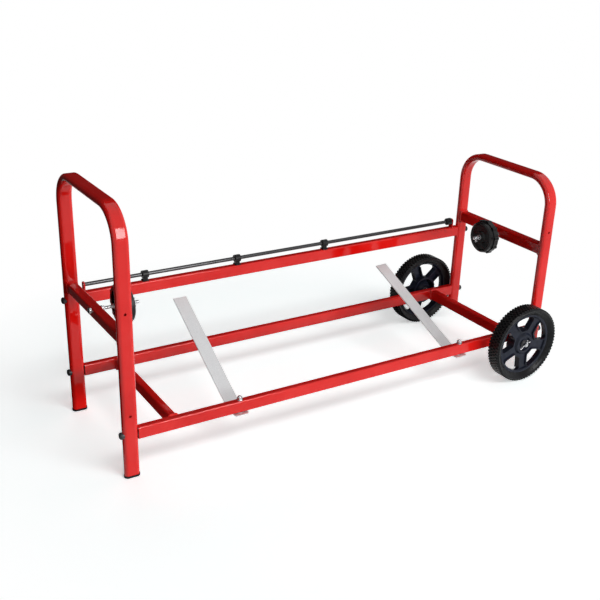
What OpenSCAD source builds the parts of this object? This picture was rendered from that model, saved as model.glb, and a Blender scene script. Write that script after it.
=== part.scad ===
// Roll dispenser trolley: a tube frame on two feet and two wheels. A roll of paper or film turns on two
// core plugs, over two support arms, and its sheet is drawn across the guide rod at the rear.
// Origin: on the floor under the middle of the frame. +X runs from the feet to the wheels, -Y is the
// open front where the roll goes in, +Z is up.

/* [Frame] */
// Distance between the centre planes of the two hoops
frame_length = 1012; // [700:4:1500]
// Distance between the centrelines of the front and rear legs
frame_width = 290; // [220:2:420]
// Height of the left hoop, on the floor
left_hoop_height = 523.5; // [420:0.5:700]
// Height of the right hoop, above the floor
right_hoop_height = 457.5; // [400:0.5:620]
// Bend radius of the hoops, on the tube's centreline
hoop_bend = 60; // [35:1:90]
// Height of the two lower rails' centrelines
lower_rail_height = 90; // [85:1:120]
// Height of the upper rear rail's centreline
upper_rail_height = 251; // [200:1:265]
// Height of the roll's axis and of the spindles
roll_axis_height = 284; // [280:1:350]
// Distance from the left hoop to the left brace
brace_inset = 90; // [60:1:200]
// Distance from the right hoop to the axle
axle_inset = 76; // [60:1:200]
// Length of the right hoop's legs below the lower rails
right_leg_overhang = 29.5; // [16:0.5:60]

/* [Tubes] */
// Wide side of the hoops' flat-oval tube
oval_width = 30; // [24:0.5:40]
// Narrow side of the hoops' flat-oval tube
oval_depth = 15; // [12:0.5:20]
// Height of the rectangular tubes
bar_height = 25; // [20:0.5:34]
// Thickness of the rectangular tubes
bar_depth = 15; // [14:0.5:20]
// Width of the crossbars, along the trolley
crossbar_width = 20; // [16:0.5:24]
// Height of the left crossbar
left_crossbar_height = 20; // [16:0.5:25]
// Height of the right crossbar
right_crossbar_height = 25; // [16:0.5:30]
// Distance from the spindle down to the middle of the left crossbar
left_crossbar_drop = 4; // [0:0.5:4]
// Distance from the spindle up to the middle of the right crossbar
right_crossbar_rise = 5; // [0:0.5:6]
// Outer corner radius of the rectangular tubes
bar_corner = 3; // [2:0.1:4]
// Wall of every tube
tube_wall = 1.5; // [1:0.1:1.6]
// Diameter of the drain holes in the front legs
drain_hole = 5; // [3:0.5:8]

/* [Wheels] */
// Outer diameter of the tyres
wheel_diameter = 178; // [150:1:184]
// Width of the tyres
wheel_width = 34; // [28:1:44]
// Space between a lower rail and a tyre
wheel_gap = 19; // [12:0.5:30]
// Thickness of the tyre, from its seat to the tread
tyre_height = 18; // [12:0.5:22]
// Depth of the tread
tread_depth = 2; // [1:0.5:4]
// Lugs in one row of the tread
lug_count = 72; // [40:2:84]
// Rows of lugs
lug_rows = 4; // [2:1:5]
// Number of spokes
spoke_count = 5; // [4:1:6]
// Width of a spoke between its windows
spoke_width = 24; // [14:1:28]
// Diameter of the axle
axle_diameter = 10; // [8:0.5:10.5]
// Outer diameter of the wheel bushes
wheel_bush = 16; // [14:0.5:18]
// Angle at which the front wheel stands, in degrees
front_wheel_angle = 13.5; // [-36:0.1:36]
// Angle at which the rear wheel stands, in degrees
rear_wheel_angle = -32.6; // [-36:0.1:36]

/* [Roll carriers] */
// Diameter of the core plugs, for a roll core of 76.2 mm
plug_diameter = 72; // [64:0.5:75]
// Diameter over the lobes of a core plug's grip
grip_diameter = 81; // [80:0.5:100]
// Length of a core plug
plug_length = 24; // [20:1:36]
// Length of the smooth drum that enters the roll's core
drum_length = 12; // [10:1:16]
// Lobes of the grip
lobe_count = 10; // [8:1:12]
// Distance from a crossbar to the inboard face of its core plug
plug_reach = 56; // [50:0.5:80]
// Diameter of the spindles
spindle_diameter = 6; // [5:0.5:10]

/* [Support arms] */
// Distance from each hoop to its arm's pivot
arm_inset = 228; // [160:1:300]
// Width of an arm
arm_width = 30; // [24:0.5:36]
// Thickness of an arm
arm_thickness = 2.5; // [2:0.1:3]
// Length of the sloping blade
arm_blade = 283; // [200:1:286]
// Slope of the left arm's blade, in degrees
left_arm_slope = 30.5; // [20:0.5:36]
// Slope of the right arm's blade, in degrees
right_arm_slope = 26.5; // [20:0.5:36]
// Distance from the pivot to the bend
arm_bend_offset = 20; // [18:0.5:26]
// Angle at which the left arm stands, in degrees
left_arm_angle = 0.5; // [-25:0.5:25]
// Angle at which the right arm stands, in degrees
right_arm_angle = 5.5; // [-25:0.5:25]
// Diameter of the arms' pivot bolts
pivot_diameter = 6; // [5:0.5:8]

/* [Guide rod] */
// Diameter of the guide rod
rod_diameter = 8; // [6:0.5:9]
// Height of the rod's centre above the upper rail
rod_height = 14.5; // [12:0.5:20]
// Distance from the left hoop to the left rod tab
rod_left_inset = 28; // [24:1:60]
// Distance from the right hoop to the right rod tab
rod_right_inset = 34; // [24:1:60]
// Width of a rod clip
clip_width = 13; // [8:0.5:18]

/* [Fits] */
// Radial clearance of a turning fit
running_fit = 0.05; // [0.02:0.01:0.1]
// Clearance of a plug or an insert in its tube
insert_fit = 0.1; // [0.05:0.05:0.3]
// Radial clearance of a screw in its hole
screw_clearance = 0.25; // [0.1:0.05:0.5]
// Gap between the end faces of a turning part and its neighbours
end_play = 0.3; // [0.2:0.1:0.6]

/* [Hidden] */
$fn = 64;
cut = 1;

// Colours
paint_red = "crimson";
moulded_black = "#1c1c1e";
rubber_black = "#222224";
zinc = "silver";
dark_steel = "#3a3a3c";
arm_grey = "#c4c5c7";

// Frame places
left_x = -frame_length / 2;
right_x = frame_length / 2;
leg_y = frame_width / 2;
leg_inner_y = leg_y - oval_depth / 2;
rail_outer_y = leg_y + bar_depth / 2;
brace_end_y = leg_y - bar_depth / 2;
brace_x = left_x + brace_inset;
axle_x = right_x - axle_inset;
rail_end_x = frame_length / 2 - oval_width / 2;
rail_bottom = lower_rail_height - bar_height / 2;
rail_top = lower_rail_height + bar_height / 2;
right_leg_end = rail_bottom - right_leg_overhang;
lower_drain_rise = 40;
upper_drain_rise = 48;

// Bolts through the hoops: M8 button heads on saddle washers
bolt_d = 8;
bolt_head_d = 14;
bolt_head_h = 4.5;
bolt_socket = 5;
bolt_reach = 16;
saddle_d = 13;
saddle_rise = 1.2;
saddle_depth = 4.2;
saddle_clearance = 0.01;
insert_length = 24;
insert_setback = 1;
head_root = 1;

// Foot and leg plugs
rib_t = 1.2;
plug_wall = 2;
plug_flange = 4;
plug_proud = 1;
plug_stem = 18;

// Wheel places, along the axle from the outboard face of a wheel
axle_z = wheel_diameter / 2;
tyre_seat = wheel_diameter / 2 - tyre_height;
rim_inset = 8.5;
rim_wall = 6;
web_front = 13;
web_back = 17.5;
rib_front = 9.5;
rib_back = 24;
rib_wall = 3;
window_inner = 33;
window_bite = 0.5;
window_corner = 6;
skirt_back = 32;
boss_radius = 26;
boss_front_radius = 22;
boss_front = 8;
boss_recess_radius = 16;
boss_floor = 12;
boss_back_radius = 16;
bush_overhang = 0.5;
washer_t = 1.6;
axle_pin_d = 3;
pin_clearance = 0.1;
pin_setback = 4.5;
axle_pin_angle = -145;
axle_tip = 1;
wheel_inner_y = rail_outer_y + wheel_gap;
wheel_outer_y = wheel_inner_y + wheel_width;
bush_outer_y = wheel_outer_y - boss_floor + bush_overhang;
bush_inner_y = wheel_inner_y - bush_overhang;
axle_washer_y = bush_outer_y + end_play;
axle_half = axle_washer_y + washer_t + 2 * pin_setback;

// Roll carrier places, along a spindle from the hoop's centre plane towards the roll
carrier_start = crossbar_width / 2;
plug_face = carrier_start + plug_reach;
plug_back = plug_face - plug_length;
nut_af = 10;
nut_h = 5;
dish_depth = 4;
dish_radius = plug_diameter / 2 - 4;
plug_boss = 13;
plug_skin = 4;
plug_chamfer = 3;
bush_wall = 2.5;
spindle_head_d = 12;
spindle_head_h = 4.5;
spindle_washer_d = 12;
spindle_pin_d = 2.4;
spindle_tail = 14;
boss_face = plug_face - 1;
plug_bush_face = boss_face + bush_overhang;
end_nut_x = plug_bush_face + end_play + washer_t;
spindle_pin_x = end_nut_x + nut_h + 1.6 * spindle_pin_d;
spindle_end = end_nut_x + nut_h + spindle_tail;

// Arm stack, downwards from the underside of the front rail
arm_washer_t = 1.2;
arm_gap = 0.1;
arm_top = rail_bottom - arm_washer_t - arm_gap;
arm_bottom = arm_top - arm_thickness;
arm_bend_radius = 8;
arm_tail = 13;
pivot_head_d = 12;
pivot_head_h = 4;
pivot_nut_af = 10;
pivot_nut_h = 5;
pivot_dome = 3;
plan_corner = 4;
arm_pivots = [left_x + arm_inset, right_x - arm_inset];

// Guide rod places
rod_z = upper_rail_height + bar_height / 2 + rod_height;
rod_left = left_x + rod_left_inset;
rod_right = right_x - rod_right_inset;
rod_base = upper_rail_height + bar_height / 2;
tab_t = 3;
tab_width = 13;
clip_wall = 4;
clip_shares = [0.137, 0.364, 0.603];
rod_clip_x = [for (s = clip_shares) rod_left + s * (rod_right - rod_left)];
clip_stud_d = 5;
clip_stud_l = 6;
clip_foot_t = 2.5;
collar_d = 17;
collar_l = 16;
collar_chamfer = 2;
set_screw_d = 4;

// ---------------------------------------------------------------- shared forms

// Points of an arc from angle a0 to a1, both ends included
function arc(c, r, a0, a1, n) = [for (i = [0:n]) c + r * ray(a0 + (a1 - a0) * i / n)];

// Unit vector at an angle
function ray(a) = [cos(a), sin(a)];

// Turns the local Z axis onto +X
module along_x() {
    rotate([0, 90, 0]) children();
}

// Turns the local Z axis onto +Y
module along_y() {
    rotate([-90, 0, 0]) children();
}

// Copies the children to the other side of the XZ plane as well
module both_sides() {
    children();
    mirror([0, 1, 0]) children();
}

// Flat-oval outline, wide along X
module oval(width, depth) {
    square([width - depth, depth], center = true);
    for (side = [-1, 1]) translate([side * (width - depth) / 2, 0]) circle(d = depth);
}

// Section of the hoops' tube
module oval_section() {
    difference() {
        oval(oval_width, oval_depth);
        oval(oval_width - 2 * tube_wall, oval_depth - 2 * tube_wall);
    }
}

// Rectangle with round corners
module rounded_rect(width, height, r) {
    square([width - 2 * r, height], center = true);
    square([width, height - 2 * r], center = true);
    for (x = [-1, 1], y = [-1, 1])
        translate([x * (width / 2 - r), y * (height / 2 - r)]) circle(r = r);
}

// Rectangular tube along local Z, with its height along local X
module bar(length, height = bar_height, depth = bar_depth) {
    linear_extrude(length, center = true) difference() {
        rounded_rect(height, depth, bar_corner);
        rounded_rect(height - 2 * tube_wall, depth - 2 * tube_wall, bar_corner - tube_wall);
    }
}

// Flat ring on local Z = 0
module washer(hole, outer, t) {
    difference() {
        cylinder(d = outer, h = t);
        translate([0, 0, -cut]) cylinder(d = hole, h = t + 2 * cut);
    }
}

// Hexagonal nut with chamfered corners on local Z = 0
module hex_nut(hole, af, h) {
    difference() {
        intersection() {
            cylinder(d = af / cos(30), h = h, $fn = 6);
            nut_rounding(af, h);
        }
        translate([0, 0, -cut]) cylinder(d = hole, h = h + 2 * cut);
    }
}

// Turned envelope that takes the corners off a hexagon
module nut_rounding(af, h) {
    bevel = af * 0.07;
    outer = af / 2 + bevel;
    rotate_extrude()
        polygon([[0, 0], [af / 2, 0], [outer, bevel], [outer, h - bevel], [af / 2, h], [0, h]]);
}

// Button head with a hexagon socket; its seat is at local Z = 0
module button_head(d, h, socket) {
    flat = d * 0.45;
    edge = h * 0.2;
    floor_z = h * 0.4;
    crown = [for (a = [0:15:90]) [flat / 2 + (d - flat) / 2 * cos(a), edge + (h - edge) * sin(a)]];
    difference() {
        rotate_extrude() polygon(concat([[0, 0], [d / 2, 0]], crown, [[0, h]]));
        translate([0, 0, floor_z]) cylinder(d = socket / cos(30), h = h, $fn = 6);
    }
}

// Split pin through a shaft that runs along local Z: its eye stands at -X, and its two legs leave at +X,
// turned by fold degrees towards local +Z
module split_pin(d, shaft, leg, fold) {
    reach = shaft / 2 + 2;
    splay = 7;
    wire = d * 0.55;
    eye_r = d * 1.05;
    translate([-reach, 0, 0]) along_x() cylinder(d = d, h = 2 * reach, $fn = 24);
    translate([-reach - d, 0, 0]) rotate([90, 0, 0])
        rotate_extrude($fn = 32) translate([eye_r, 0]) circle(d = d * 0.8, $fn = 16);
    for (side = [-1, 1]) translate([reach - d / 2, 0, 0]) rotate([0, 90 - fold + side * splay, 0])
        cylinder(d = wire, h = leg, $fn = 16);
}

// ---------------------------------------------------------------- frame

// Inverted U of flat-oval tube, standing on z = foot, with its centreline bent to hoop_bend
module hoop(foot, height) {
    crown = height - oval_depth / 2;
    both_sides() {
        translate([0, leg_y, foot]) linear_extrude(crown - hoop_bend - foot) oval_section();
        translate([0, leg_y - hoop_bend, crown - hoop_bend]) rotate([90, 0, 90])
            rotate_extrude(angle = 90) translate([hoop_bend, 0]) rotate(90) oval_section();
    }
    translate([0, 0, crown]) along_y()
        linear_extrude(frame_width - 2 * hoop_bend, center = true) oval_section();
}

// Hole along X through a leg, for a frame bolt
module leg_bolt_hole(y, z) {
    translate([-oval_width, y, z]) along_x()
        cylinder(d = bolt_d + 2 * screw_clearance, h = 2 * oval_width);
}

// Drain hole in the front wall of a front leg
module leg_drain(z) {
    translate([0, -leg_y - oval_depth / 2 - cut, z]) along_y()
        cylinder(d = drain_hole, h = tube_wall + 2 * cut);
}

module left_hoop() {
    color(paint_red) translate([left_x, 0, 0]) difference() {
        hoop(plug_flange, left_hoop_height);
        leg_bolt_hole(-leg_y, lower_rail_height);
        leg_bolt_hole(leg_y, lower_rail_height);
        leg_bolt_hole(leg_y, upper_rail_height);
        leg_drain(lower_rail_height + lower_drain_rise);
        leg_drain(roll_axis_height + upper_drain_rise);
    }
}

module right_hoop() {
    color(paint_red) translate([right_x, 0, 0]) difference() {
        hoop(right_leg_end, right_hoop_height);
        leg_bolt_hole(-leg_y, lower_rail_height);
        leg_bolt_hole(leg_y, lower_rail_height);
        leg_bolt_hole(leg_y, upper_rail_height);
        leg_drain(roll_axis_height + upper_drain_rise);
    }
}

// Rectangular tube between a hoop's legs, with its middle shifted up from the spindle that it is drilled for
module crossbar(height, shift) {
    difference() {
        translate([0, 0, shift]) rotate([90, 90, 0]) bar(2 * leg_inner_y, height, crossbar_width);
        translate([-crossbar_width, 0, 0]) along_x()
            cylinder(d = spindle_diameter + 2 * screw_clearance, h = 2 * crossbar_width);
    }
}

module left_crossbar() {
    color(paint_red) translate([left_x, 0, roll_axis_height])
        crossbar(left_crossbar_height, -left_crossbar_drop);
}

module right_crossbar() {
    color(paint_red) translate([right_x, 0, roll_axis_height])
        crossbar(right_crossbar_height, right_crossbar_rise);
}

// Rectangular tube between the hoops
module rail(y, z) {
    translate([0, y, z]) along_x() bar(2 * rail_end_x);
}

module upper_rail() {
    color(paint_red) difference() {
        rail(leg_y, upper_rail_height);
        for (x = rod_clip_x) translate([x, leg_y, rod_base - 2 * tube_wall])
            cylinder(d = clip_stud_d + 2 * insert_fit, h = 4 * tube_wall);
    }
}

module front_rail() {
    color(paint_red) difference() {
        rail(-leg_y, lower_rail_height);
        axle_holes(-leg_y);
        for (x = arm_pivots) translate([x, -leg_y, rail_bottom - cut])
            cylinder(d = pivot_diameter + 2 * screw_clearance, h = bar_height + 2 * cut);
    }
}

module rear_rail() {
    color(paint_red) difference() {
        rail(leg_y, lower_rail_height);
        axle_holes(leg_y);
    }
}

// Hole for the axle through a lower rail
module axle_holes(y) {
    translate([axle_x, y - bar_depth, axle_z]) along_y()
        cylinder(d = axle_diameter + 2 * screw_clearance, h = 2 * bar_depth);
}

// Rectangular tube between the two lower rails
module lower_cross_tube(x) {
    translate([x, 0, lower_rail_height]) rotate([90, 90, 0]) bar(2 * brace_end_y);
}

module left_brace() {
    color(paint_red) lower_cross_tube(brace_x);
}

module axle_housing() {
    color(paint_red) lower_cross_tube(axle_x);
}

// Places of the six frame bolts: [y, z] at each hoop
bolt_rows = [[-leg_y, lower_rail_height], [leg_y, lower_rail_height], [leg_y, upper_rail_height]];

// Puts the children at each frame bolt, with local +X pointing out of the trolley from the leg's outer side
module at_frame_bolts() {
    for (row = bolt_rows) {
        translate([right_x + oval_width / 2, row[0], row[1]]) children();
        translate([left_x - oval_width / 2, row[0], row[1]]) mirror([1, 0, 0]) children();
    }
}

// Threaded block pressed into a rail's end
module rail_insert() {
    bolt_bore = bolt_d + 2 * running_fit;
    height = bar_height - 2 * tube_wall - 2 * insert_fit;
    depth = bar_depth - 2 * tube_wall - 2 * insert_fit;
    translate([-oval_width - insert_length / 2 - insert_setback, 0, 0]) along_x() difference() {
        linear_extrude(insert_length, center = true) rounded_rect(height, depth, bar_corner - tube_wall);
        cylinder(d = bolt_bore, h = insert_length + 2 * cut, center = true);
    }
}

module rail_inserts() {
    color(dark_steel) at_frame_bolts() rail_insert();
}

// Screw with a button head, through the leg and into the insert
module frame_bolt() {
    translate([saddle_rise, 0, 0]) along_x() button_head(bolt_head_d, bolt_head_h, bolt_socket);
    translate([-oval_width - bolt_reach, 0, 0]) along_x()
        cylinder(d = bolt_d, h = oval_width + bolt_reach + saddle_rise + head_root);
}

module frame_bolts() {
    color(dark_steel) at_frame_bolts() frame_bolt();
}

// Washer with a hollow that sits on the round side of the leg
module saddle_washer() {
    difference() {
        translate([saddle_rise - saddle_depth, 0, 0]) along_x() cylinder(d = saddle_d, h = saddle_depth);
        translate([-oval_depth / 2, 0, 0])
            cylinder(d = oval_depth + 2 * saddle_clearance, h = 2 * saddle_d, center = true);
        translate([-oval_width, 0, 0]) along_x()
            cylinder(d = bolt_d + 2 * screw_clearance, h = 2 * oval_width);
    }
}

module saddle_washers() {
    color(dark_steel) at_frame_bolts() saddle_washer();
}

// Moulded plug for a leg's end: a base as wide as base_w by base_d and a hollow, ribbed stem above it
module tube_plug(base_w, base_d) {
    inner_w = oval_width - 2 * tube_wall - 2 * insert_fit;
    inner_d = oval_depth - 2 * tube_wall - 2 * insert_fit;
    difference() {
        union() {
            linear_extrude(plug_flange) oval(base_w, base_d);
            linear_extrude(plug_flange + plug_stem) oval(inner_w - rib_t, inner_d - rib_t);
            for (rib = [1:3]) translate([0, 0, plug_flange + rib * plug_stem / 4])
                linear_extrude(rib_t) oval(inner_w, inner_d);
        }
        translate([0, 0, plug_flange]) linear_extrude(plug_stem + cut)
            oval(inner_w - rib_t - 2 * plug_wall, inner_d - rib_t - 2 * plug_wall);
    }
}

module foot_plugs() {
    color(moulded_black) both_sides() translate([left_x, leg_y, 0])
        tube_plug(oval_width + 2 * plug_proud, oval_depth + 2 * plug_proud);
}

// Plugs driven in flush with the ends of the right hoop's legs
module leg_plugs() {
    color(moulded_black) both_sides() translate([right_x, leg_y, right_leg_end])
        tube_plug(oval_width - 2 * tube_wall - 2 * insert_fit, oval_depth - 2 * tube_wall - 2 * insert_fit);
}

// ---------------------------------------------------------------- guide rod

module guide_rod() {
    color(dark_steel) translate([rod_left - tab_t, leg_y, rod_z]) along_x()
        cylinder(d = rod_diameter, h = rod_right - rod_left + 2 * tab_t);
}

// Upright steel tab with a round top, which holds one end of the rod
module rod_tab() {
    rotate([90, 0, 90]) linear_extrude(tab_t) difference() {
        union() {
            translate([-tab_width / 2, 0]) square([tab_width, rod_height]);
            translate([0, rod_height]) circle(d = tab_width);
        }
        translate([0, rod_height]) circle(d = rod_diameter + 2 * running_fit);
    }
}

module rod_tabs() {
    color(paint_red) {
        translate([rod_left - tab_t, leg_y, rod_base]) rod_tab();
        translate([rod_right, leg_y, rod_base]) rod_tab();
    }
}

// Moulded clip round the rod, on a foot with a stud that snaps into the rail
module rod_clip() {
    body_d = rod_diameter + 2 * clip_wall;
    foot_w = bar_depth - 2;
    neck_w = clip_width - 3;
    bore = rod_diameter + 2 * running_fit;
    difference() {
        union() {
            translate([0, 0, rod_height]) along_x() cylinder(d = body_d, h = clip_width, center = true);
            translate([0, 0, rod_height / 2]) cube([neck_w, rod_diameter, rod_height], center = true);
            translate([0, 0, clip_foot_t / 2]) cube([clip_width, foot_w, clip_foot_t], center = true);
            translate([0, 0, -clip_stud_l]) cylinder(d = clip_stud_d, h = clip_stud_l + 1);
        }
        translate([0, 0, rod_height]) along_x() cylinder(d = bore, h = clip_width + 2 * cut, center = true);
    }
}

module rod_clips() {
    color(moulded_black) for (x = rod_clip_x) translate([x, leg_y, rod_base]) rod_clip();
}

// Clamping collar that stops the rod from sliding, beside the right tab
module rod_collar() {
    bore_r = rod_diameter / 2 + running_fit;
    outer_r = collar_d / 2;
    color(moulded_black) translate([rod_right - collar_l - end_play, leg_y, rod_z]) along_x() difference() {
        rotate_extrude() polygon([[bore_r, 0], [outer_r - collar_chamfer, 0], [outer_r, collar_chamfer],
            [outer_r, collar_l - collar_chamfer], [outer_r - collar_chamfer, collar_l], [bore_r, collar_l]]);
        translate([-collar_d, 0, collar_l / 2]) along_x()
            cylinder(d = set_screw_d, h = collar_d - bore_r + cut, $fn = 24);
    }
}

// ---------------------------------------------------------------- roll carriers

// Puts the children at both hoops, with local +X pointing along the spindle towards the roll
module at_carriers() {
    at_left_carrier() children();
    at_right_carrier() children();
}

module at_left_carrier() {
    translate([left_x, 0, roll_axis_height]) children();
}

module at_right_carrier() {
    translate([right_x, 0, roll_axis_height]) mirror([1, 0, 0]) children();
}

// Bolt with a domed head outside the crossbar, drilled for a split pin near its other end
module spindle() {
    head = -carrier_start - washer_t;
    tip = 1;
    difference() {
        union() {
            translate([head, 0, 0]) mirror([1, 0, 0]) along_x()
                button_head(spindle_head_d, spindle_head_h, spindle_head_d * 0.35);
            translate([head - head_root, 0, 0]) along_x()
                cylinder(d = spindle_diameter, h = spindle_end - tip - head + head_root);
            translate([spindle_end - tip, 0, 0]) along_x()
                cylinder(d1 = spindle_diameter, d2 = spindle_diameter - 2 * tip, h = tip);
        }
        translate([spindle_pin_x, 0, 0])
            cylinder(d = spindle_pin_d + 2 * pin_clearance, h = 2 * spindle_diameter, center = true);
    }
}

module left_spindle() {
    color(zinc) at_left_carrier() spindle();
}

module right_spindle() {
    color(zinc) at_right_carrier() spindle();
}

// Three nuts on each spindle: one locks it to the crossbar, two stop the core plug
module spindle_nuts() {
    thread = spindle_diameter + 2 * running_fit;
    stop = plug_back - bush_overhang - end_play - washer_t - nut_h;
    color(zinc) at_carriers() for (x = [carrier_start + washer_t, stop, end_nut_x])
        translate([x, 0, 0]) along_x() hex_nut(thread, nut_af, nut_h);
}

// Washers on each spindle: both sides of the crossbar and both ends of the core plug
module spindle_washers() {
    hole = spindle_diameter + 2 * screw_clearance;
    outer = spindle_washer_d;
    places = [-carrier_start - washer_t, carrier_start, plug_back - bush_overhang - end_play - washer_t,
        plug_bush_face + end_play];
    color(zinc) at_carriers() for (x = places) translate([x, 0, 0]) along_x() washer(hole, outer, washer_t);
}

// Upright split pins: the left one's legs are straight, the right one's are folded towards the roll
module spindle_pins() {
    leg = 12;
    fold = -80;
    color(zinc) {
        at_left_carrier() spindle_pin(leg / 2, 0);
        at_right_carrier() spindle_pin(leg, fold);
    }
}

module spindle_pin(leg, fold) {
    translate([spindle_pin_x, 0, 0]) rotate([0, -90, 0])
        split_pin(spindle_pin_d, spindle_diameter, leg, fold);
}

// Core plug: a dished drum that enters the roll's core, and a lobed grip behind it.
// Local Z runs from its inboard face to its back.
module core_plug() {
    r = plug_diameter / 2;
    lobe_r = 5;
    root = grip_diameter / 2 - 2.5;
    first_lobe = 10;
    bush_r = spindle_diameter / 2 + bush_wall;
    boss_slope = 2;
    dish_slope = 3;
    ribs = 5;
    half_rib = 2.5;
    difference() {
        union() {
            rotate_extrude() polygon([[bush_r, 1], [plug_boss, 1], [plug_boss + boss_slope, dish_depth],
                [dish_radius - dish_slope, dish_depth], [dish_radius, 0], [r - plug_chamfer, 0],
                [r, plug_chamfer], [r, plug_length], [bush_r, plug_length]]);
            translate([0, 0, drum_length]) linear_extrude(plug_length - drum_length) union() {
                circle(r = root);
                for (i = [0:lobe_count - 1]) rotate(i * 360 / lobe_count + first_lobe)
                    translate([grip_diameter / 2 - lobe_r, 0]) circle(r = lobe_r);
            }
        }
        cylinder(r = bush_r, h = plug_length + cut);
        // Pockets between the ribs at the back
        for (i = [0:ribs - 1]) rotate(i * 360 / ribs) translate([0, 0, dish_depth + plug_skin])
            linear_extrude(plug_length) rib_pocket(plug_boss + 1, r - plug_skin, half_rib, 360 / ribs, 2);
    }
}

// Pocket outline between two ribs: from radius r0 to r1, half a rib from each side, corners of radius c
function pocket_points(r0, r1, half_rib, sector, c) =
    let (
        outer = [sqrt(pow(r1 - c, 2) - pow(half_rib + c, 2)), half_rib + c],
        inner = [sqrt(pow(r0 + c, 2) - pow(half_rib + c, 2)), half_rib + c],
        a_out = atan2(outer[1], outer[0]),
        a_in = atan2(inner[1], inner[0]),
        half = concat(arc(inner, c, a_in + 180, 270, 5), arc(outer, c, 270, 360 + a_out, 5)),
        middle = [for (i = [1:7]) r1 * ray(a_out + (sector - 2 * a_out) * i / 8)],
        back = [for (i = [len(half) - 1:-1:0]) mirrored(half[i], sector / 2)],
        floor_arc = [for (i = [1:3]) r0 * ray(sector - a_in - (sector - 2 * a_in) * i / 4)]
    )
    concat(half, middle, back, floor_arc);

// Point p mirrored about the ray at angle a
function mirrored(p, a) = [p[0] * cos(2 * a) + p[1] * sin(2 * a), p[0] * sin(2 * a) - p[1] * cos(2 * a)];

module rib_pocket(r0, r1, half_rib, sector, c) {
    polygon(pocket_points(r0, r1, half_rib, sector, c));
}

// Puts a core plug's children with their inboard face at the right place
module at_plug_face() {
    translate([plug_face, 0, 0]) mirror([1, 0, 0]) along_x() children();
}

module left_core_plug() {
    color(moulded_black) at_left_carrier() at_plug_face() core_plug();
}

module right_core_plug() {
    color(moulded_black) at_right_carrier() at_plug_face() core_plug();
}

// Bush in a core plug's bore
module plug_bush() {
    length = plug_bush_face - plug_back + bush_overhang;
    translate([plug_back - bush_overhang, 0, 0]) along_x()
        washer(spindle_diameter + 2 * running_fit, spindle_diameter + 2 * bush_wall, length);
}

module left_plug_bush() {
    color(zinc) at_left_carrier() plug_bush();
}

module right_plug_bush() {
    color(zinc) at_right_carrier() plug_bush();
}

// ---------------------------------------------------------------- wheels

module axle() {
    color(zinc) translate([axle_x, 0, axle_z]) difference() {
        along_y() union() {
            cylinder(d = axle_diameter, h = 2 * (axle_half - axle_tip), center = true);
            cylinder(d = axle_diameter - 2 * axle_tip, h = 2 * axle_half, center = true);
        }
        both_sides() translate([0, axle_half - pin_setback, 0]) rotate([0, 90 - axle_pin_angle, 0])
            cylinder(d = axle_pin_d + 2 * pin_clearance, h = 2 * axle_diameter, center = true);
    }
}

// Puts the children at both wheels, with local +Z pointing outboard from the axle's middle
module at_wheels() {
    both_sides() translate([axle_x, 0, axle_z]) along_y() children();
}

// Tube between a lower rail and the wheel's inner washer
module axle_spacers() {
    length = bush_inner_y - end_play - washer_t - rail_outer_y;
    color(zinc) at_wheels() translate([0, 0, rail_outer_y])
        washer(axle_diameter + 2 * screw_clearance, wheel_bush, length);
}

module axle_washers() {
    hole = axle_diameter + 2 * screw_clearance;
    outer = wheel_bush + 2;
    color(zinc) at_wheels() for (y = [bush_inner_y - end_play - washer_t, axle_washer_y])
        translate([0, 0, y]) washer(hole, outer, washer_t);
}

module axle_pins() {
    leg = 12;
    color(zinc) both_sides() translate([axle_x, axle_half - pin_setback, axle_z])
        rotate([0, -axle_pin_angle, 0]) rotate([90, 0, 0]) split_pin(axle_pin_d, axle_diameter, leg, 0);
}

// Spoked rim, with a skirt round its hub's back. Local Z = 0 is the tyre's outboard face, and Z runs inboard.
module rim() {
    sector = 360 / spoke_count;
    half_spoke = spoke_width / 2;
    ring = tyre_seat - rim_wall;
    window_outer = ring + window_bite;
    front_lip = 2;
    back_lip = 1.5;
    back = wheel_width - rim_inset;
    rib_end = ring - 3;
    relief = web_back + 1;
    skirt = window_inner + 1;
    skirt_wall = rib_wall + 1.5;
    difference() {
        union() {
            rotate_extrude($fn = 96) polygon([[wheel_bush / 2, boss_floor], [boss_recess_radius, boss_floor],
                [boss_recess_radius + 1, boss_front], [boss_front_radius, boss_front],
                [boss_radius, web_front], [ring, web_front],
                [ring, rim_inset + front_lip], [ring + front_lip, rim_inset],
                [tyre_seat, rim_inset], [tyre_seat, back], [ring, back], [ring, web_back],
                [skirt, web_back], [skirt, skirt_back],
                [skirt - skirt_wall, skirt_back], [skirt - skirt_wall, web_back],
                [boss_radius, web_back], [boss_back_radius, wheel_width], [wheel_bush / 2, wheel_width]]);
            // Ribs along both edges of each spoke and round the hub
            for (i = [0:spoke_count - 1]) rotate(i * sector) translate([0, 0, rib_front])
                linear_extrude(rib_back - rib_front)
                    rib_pocket(window_inner - rib_wall, window_outer + 1, half_spoke - rib_wall, sector,
                        window_corner + rib_wall);
        }
        for (i = [0:spoke_count - 1]) rotate(i * sector) translate([0, 0, -cut])
            linear_extrude(wheel_width + 2 * cut)
                rib_pocket(window_inner, window_outer, half_spoke, sector, window_corner);
        // The ring's back flares open, and the ribs stop short of it
        rotate_extrude($fn = 96) polygon([[rib_end, relief], [window_outer + 0.5, relief],
            [tyre_seat - back_lip, back + cut], [tyre_seat - back_lip, wheel_width + cut],
            [rib_end, wheel_width + cut]]);
    }
}

// Ring of tread blocks for one row
module lug_row(width, phase) {
    pitch = 360 / lug_count;
    outer = wheel_diameter / 2;
    root = outer - tread_depth - 1;
    wide = pitch * 0.34;
    narrow = pitch * 0.27;
    points = [for (i = [0:lug_count - 1]) each [root * ray(i * pitch - wide), outer * ray(i * pitch - narrow),
        outer * ray(i * pitch + narrow), root * ray(i * pitch + wide)]];
    rotate(phase) linear_extrude(width) difference() {
        polygon(points);
        circle(r = root - 2);
    }
}

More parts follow.
